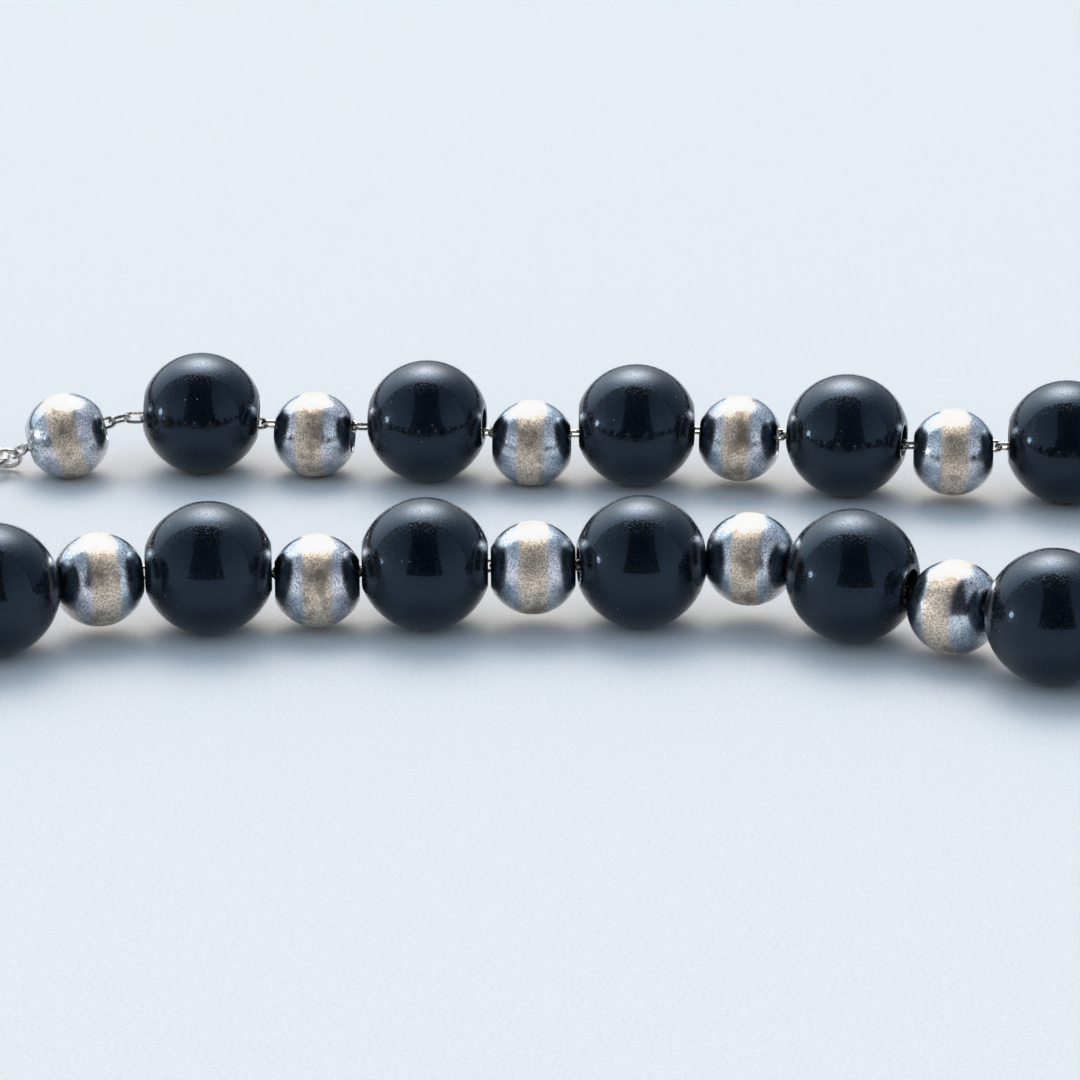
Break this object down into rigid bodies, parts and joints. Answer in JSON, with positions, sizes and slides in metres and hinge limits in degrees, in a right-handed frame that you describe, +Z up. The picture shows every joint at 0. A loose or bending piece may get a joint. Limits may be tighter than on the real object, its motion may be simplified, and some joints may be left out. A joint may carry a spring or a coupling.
{
  "type": "misbaha prayer beads",
  "caption": "Misbaha: polished onyx beads and smaller oxidised silver beads alternate on a fine cable chain, with a joining ring, a long leader bead and a chain tassel.",
  "frame": {"origin": "on the table, under the middle of the whole piece as it lies", "axes": "+X along the two rows of beads, away from the leader and tassel; +Y from the front row to the rear row; +Z up from the table"},
  "size_m": [0.1577, 0.0576, 0.01],
  "materials": {
    "onyx": "polished, near-black",
    "silver_bead": "oxidised silver, polished with a matt pitted band",
    "silver_wire": "drawn silver wire, slightly tarnished"
  },
  "bodies": {
    "strand": {"rear_chain": "silver_wire", "right_chain": "silver_wire", "front_chain": "silver_wire", "left_chain": "silver_wire", "first_end_ring": "silver_wire", "last_end_ring": "silver_wire"},
    "silver_bead_01": {"silver_bead_01": "silver_bead"},
    "onyx_bead_01": {"onyx_bead_01": "onyx"},
    "silver_bead_02": {"silver_bead_02": "silver_bead"},
    "onyx_bead_02": {"onyx_bead_02": "onyx"},
    "silver_bead_03": {"silver_bead_03": "silver_bead"},
    "onyx_bead_03": {"onyx_bead_03": "onyx"},
    "silver_bead_04": {"silver_bead_04": "silver_bead"},
    "onyx_bead_04": {"onyx_bead_04": "onyx"},
    "silver_bead_05": {"silver_bead_05": "silver_bead"},
    "onyx_bead_05": {"onyx_bead_05": "onyx"},
    "silver_bead_06": {"silver_bead_06": "silver_bead"},
    "onyx_bead_06": {"onyx_bead_06": "onyx"},
    "silver_bead_07": {"silver_bead_07": "silver_bead"},
    "onyx_bead_07": {"onyx_bead_07": "onyx"},
    "silver_bead_08": {"silver_bead_08": "silver_bead"},
    "onyx_bead_08": {"onyx_bead_08": "onyx"},
    "silver_bead_09": {"silver_bead_09": "silver_bead"},
    "onyx_bead_09": {"onyx_bead_09": "onyx"},
    "silver_bead_10": {"silver_bead_10": "silver_bead"},
    "onyx_bead_10": {"onyx_bead_10": "onyx"},
    "silver_bead_11": {"silver_bead_11": "silver_bead"},
    "onyx_bead_11": {"onyx_bead_11": "onyx"},
    "silver_bead_12": {"silver_bead_12": "silver_bead"},
    "onyx_bead_12": {"onyx_bead_12": "onyx"},
    "silver_bead_13": {"silver_bead_13": "silver_bead"},
    "onyx_bead_13": {"onyx_bead_13": "onyx"},
    "silver_bead_14": {"silver_bead_14": "silver_bead"},
    "onyx_bead_14": {"onyx_bead_14": "onyx"},
    "silver_bead_15": {"silver_bead_15": "silver_bead"},
    "onyx_bead_15": {"onyx_bead_15": "onyx"},
    "silver_bead_16": {"silver_bead_16": "silver_bead"},
    "onyx_bead_16": {"onyx_bead_16": "onyx"},
    "silver_bead_17": {"silver_bead_17": "silver_bead"},
    "joining_ring": {"joining_ring": "silver_wire"},
    "leader_ring": {"leader_ring": "silver_wire"},
    "leader_pin": {"eye_pin": "silver_wire", "first_cap": "silver_bead", "second_cap": "silver_bead"},
    "leader_bead": {"leader_bead": "onyx"},
    "tassel_ring": {"tassel_ring": "silver_wire"},
    "tassel_chain_1": {"tassel_chain_1": "silver_wire"},
    "tassel_drop_1": {"tassel_drop_1": "silver_bead"},
    "tassel_chain_2": {"tassel_chain_2": "silver_wire"},
    "tassel_drop_2": {"tassel_drop_2": "silver_bead"},
    "tassel_chain_3": {"tassel_chain_3": "silver_wire"},
    "tassel_drop_3": {"tassel_drop_3": "silver_bead"}
  },
  "joints": [
    {"name": "silver_bead_01_slide", "type": "slide", "parent": "strand", "child": "silver_bead_01", "axis": [0.9629, 0.1199, 0.2419], "range_m": [-0.0009, 0.0027]},
    {"name": "onyx_bead_01_slide", "type": "slide", "parent": "strand", "child": "onyx_bead_01", "axis": [0.9986, -0.0004, -0.0523], "range_m": [-0.0022, 0.0012]},
    {"name": "silver_bead_02_slide", "type": "slide", "parent": "strand", "child": "silver_bead_02", "axis": [0.9919, -0.1267, 0], "range_m": [-0.0012, 0.0012]},
    {"name": "onyx_bead_02_slide", "type": "slide", "parent": "strand", "child": "onyx_bead_02", "axis": [0.9913, -0.1316, 0], "range_m": [-0.0013, 0.0005]},
    {"name": "silver_bead_03_slide", "type": "slide", "parent": "strand", "child": "silver_bead_03", "axis": [0.9985, -0.0541, 0], "range_m": [-0.0005, 0.0004]},
    {"name": "onyx_bead_03_slide", "type": "slide", "parent": "strand", "child": "onyx_bead_03", "axis": [1, -0.0009, 0], "range_m": [-0.0004, 0.0002]},
    {"name": "silver_bead_04_slide", "type": "slide", "parent": "strand", "child": "silver_bead_04", "axis": [0.9876, -0.1569, 0], "range_m": [-0.0002, 0.0006]},
    {"name": "onyx_bead_04_slide", "type": "slide", "parent": "strand", "child": "onyx_bead_04", "axis": [0.9652, -0.2615, 0], "range_m": [-0.0006, 0.0004]},
    {"name": "silver_bead_05_slide", "type": "slide", "parent": "strand", "child": "silver_bead_05", "axis": [0.9983, -0.0591, 0], "range_m": [-0.0004, 0.001]},
    {"name": "onyx_bead_05_slide", "type": "slide", "parent": "strand", "child": "onyx_bead_05", "axis": [0.9966, -0.0829, 0], "range_m": [-0.001, 0]},
    {"name": "silver_bead_06_spin", "type": "hinge", "parent": "strand", "child": "silver_bead_06", "pos_m": [0.0639, 0.01383, 0.004], "axis": [0.848, -0.5301, 0], "continuous": true},
    {"name": "onyx_bead_06_spin", "type": "hinge", "parent": "strand", "child": "onyx_bead_06", "pos_m": [0.07003, 0.00799, 0.005], "axis": [0.569, -0.8223, 0], "continuous": true},
    {"name": "silver_bead_07_spin", "type": "hinge", "parent": "strand", "child": "silver_bead_07", "pos_m": [0.07338, 0.0002, 0.004], "axis": [0.2168, -0.9762, 0], "continuous": true},
    {"name": "onyx_bead_07_spin", "type": "hinge", "parent": "strand", "child": "onyx_bead_07", "pos_m": [0.07386, -0.00828, 0.005], "axis": [-0.0986, -0.9951, 0], "continuous": true},
    {"name": "silver_bead_08_spin", "type": "hinge", "parent": "strand", "child": "silver_bead_08", "pos_m": [0.0716, -0.01646, 0.004], "axis": [-0.4442, -0.8959, 0], "continuous": true},
    {"name": "onyx_bead_08_spin", "type": "hinge", "parent": "strand", "child": "onyx_bead_08", "pos_m": [0.06615, -0.0229, 0.005], "axis": [-0.8215, -0.5701, 0], "continuous": true},
    {"name": "silver_bead_09_spin", "type": "hinge", "parent": "strand", "child": "silver_bead_09", "pos_m": [0.05809, -0.02529, 0.004], "axis": [-0.994, 0.1092, 0], "continuous": true},
    {"name": "onyx_bead_09_spin", "type": "hinge", "parent": "strand", "child": "onyx_bead_09", "pos_m": [0.05051, -0.02182, 0.005], "axis": [-0.8166, 0.5773, 0], "continuous": true},
    {"name": "silver_bead_10_spin", "type": "hinge", "parent": "strand", "child": "silver_bead_10", "pos_m": [0.04382, -0.01713, 0.0039], "axis": [-0.8654, 0.5011, 0], "continuous": true},
    {"name": "onyx_bead_10_spin", "type": "hinge", "parent": "strand", "child": "onyx_bead_10", "pos_m": [0.03657, -0.01356, 0.005], "axis": [-0.8901, 0.4557, 0], "continuous": true},
    {"name": "silver_bead_11_spin", "type": "hinge", "parent": "strand", "child": "silver_bead_11", "pos_m": [0.0291, -0.01031, 0.0051], "axis": [-0.9828, 0.1848, 0], "continuous": true},
    {"name": "onyx_bead_11_spin", "type": "hinge", "parent": "strand", "child": "onyx_bead_11", "pos_m": [0.02094, -0.01062, 0.005], "axis": [-0.9941, -0.1084, 0], "continuous": true},
    {"name": "silver_bead_12_spin", "type": "hinge", "parent": "strand", "child": "silver_bead_12", "pos_m": [0.01288, -0.01106, 0.0047], "axis": [-0.9999, -0.0148, 0], "continuous": true},
    {"name": "onyx_bead_12_spin", "type": "hinge", "parent": "strand", "child": "onyx_bead_12", "pos_m": [0.00482, -0.01112, 0.005], "axis": [-0.9999, -0.0164, 0], "continuous": true},
    {"name": "silver_bead_13_spin", "type": "hinge", "parent": "strand", "child": "silver_bead_13", "pos_m": [-0.00323, -0.01142, 0.0038], "axis": [-0.9985, -0.0541, 0], "continuous": true},
    {"name": "onyx_bead_13_spin", "type": "hinge", "parent": "strand", "child": "onyx_bead_13", "pos_m": [-0.01128, -0.01192, 0.005], "axis": [-0.9978, -0.0661, 0], "continuous": true},
    {"name": "silver_bead_14_spin", "type": "hinge", "parent": "strand", "child": "silver_bead_14", "pos_m": [-0.01936, -0.01303, 0.0045], "axis": [-0.9608, -0.2773, 0], "continuous": true},
    {"name": "onyx_bead_14_spin", "type": "hinge", "parent": "strand", "child": "onyx_bead_14", "pos_m": [-0.02683, -0.01645, 0.005], "axis": [-0.8783, -0.4781, 0], "continuous": true},
    {"name": "silver_bead_15_spin", "type": "hinge", "parent": "strand", "child": "silver_bead_15", "pos_m": [-0.03489, -0.01882, 0.004], "axis": [-0.9807, 0.1958, 0], "continuous": true},
    {"name": "onyx_bead_15_spin", "type": "hinge", "parent": "strand", "child": "onyx_bead_15", "pos_m": [-0.04146, -0.01336, 0.005], "axis": [-0.5195, 0.8545, 0], "continuous": true},
    {"name": "silver_bead_16_spin", "type": "hinge", "parent": "strand", "child": "silver_bead_16", "pos_m": [-0.04415, -0.00529, 0.004], "axis": [-0.0726, 0.9974, 0], "continuous": true},
    {"name": "onyx_bead_16_spin", "type": "hinge", "parent": "strand", "child": "onyx_bead_16", "pos_m": [-0.04261, 0.00307, 0.005], "axis": [0.3729, 0.9279, 0], "continuous": true},
    {"name": "silver_bead_17_spin", "type": "hinge", "parent": "strand", "child": "silver_bead_17", "pos_m": [-0.03886, 0.01079, 0.0035], "axis": [0.4503, 0.8929, 0], "continuous": true},
    {"name": "joining_ring_turn", "type": "hinge", "parent": "strand", "child": "joining_ring", "pos_m": [-0.03312, 0.02318, 0.0013], "axis": [0, 0, 1], "continuous": true},
    {"name": "leader_ring_slip", "type": "hinge", "parent": "strand", "child": "leader_ring", "pos_m": [-0.03312, 0.02318, 0.0013], "axis": [0, 0, 1], "range_deg": [-20, 12]},
    {"name": "leader_swing", "type": "hinge", "parent": "leader_ring", "child": "leader_pin", "pos_m": [-0.03652, 0.02318, 0.003], "axis": [0, 0, 1], "range_deg": [-20, 15]},
    {"name": "leader_bead_spin", "type": "hinge", "parent": "leader_pin", "child": "leader_bead", "pos_m": [-0.04762, 0.02318, 0.003], "axis": [-1, 0, 0], "continuous": true},
    {"name": "tassel_swing", "type": "hinge", "parent": "leader_pin", "child": "tassel_ring", "pos_m": [-0.05872, 0.02318, 0.003], "axis": [0, 0, 1], "range_deg": [-20, 20]},
    {"name": "tassel_chain_1_swing", "type": "hinge", "parent": "tassel_ring", "child": "tassel_chain_1", "pos_m": [-0.06041, 0.02318, 0.00288], "axis": [0, 0, 1], "range_deg": [-5, 20]},
    {"name": "tassel_drop_1_swing", "type": "hinge", "parent": "tassel_chain_1", "child": "tassel_drop_1", "pos_m": [-0.06832, 0.0203, 0.00175], "axis": [0, 0, 1], "range_deg": [-20, 20]},
    {"name": "tassel_chain_2_swing", "type": "hinge", "parent": "tassel_ring", "child": "tassel_chain_2", "pos_m": [-0.06072, 0.02318, 0.0019], "axis": [0, 0, 1], "range_deg": [-5, 5]},
    {"name": "tassel_drop_2_swing", "type": "hinge", "parent": "tassel_chain_2", "child": "tassel_drop_2", "pos_m": [-0.07425, 0.02318, 0.00175], "axis": [0, 0, 1], "range_deg": [-20, 20]},
    {"name": "tassel_chain_3_swing", "type": "hinge", "parent": "tassel_ring", "child": "tassel_chain_3", "pos_m": [-0.06041, 0.02318, 0.00092], "axis": [0, 0, 1], "range_deg": [-20, 5]},
    {"name": "tassel_drop_3_swing", "type": "hinge", "parent": "tassel_chain_3", "child": "tassel_drop_3", "pos_m": [-0.06835, 0.02607, 0.00175], "axis": [0, 0, 1], "range_deg": [-20, 20]}
  ]
}
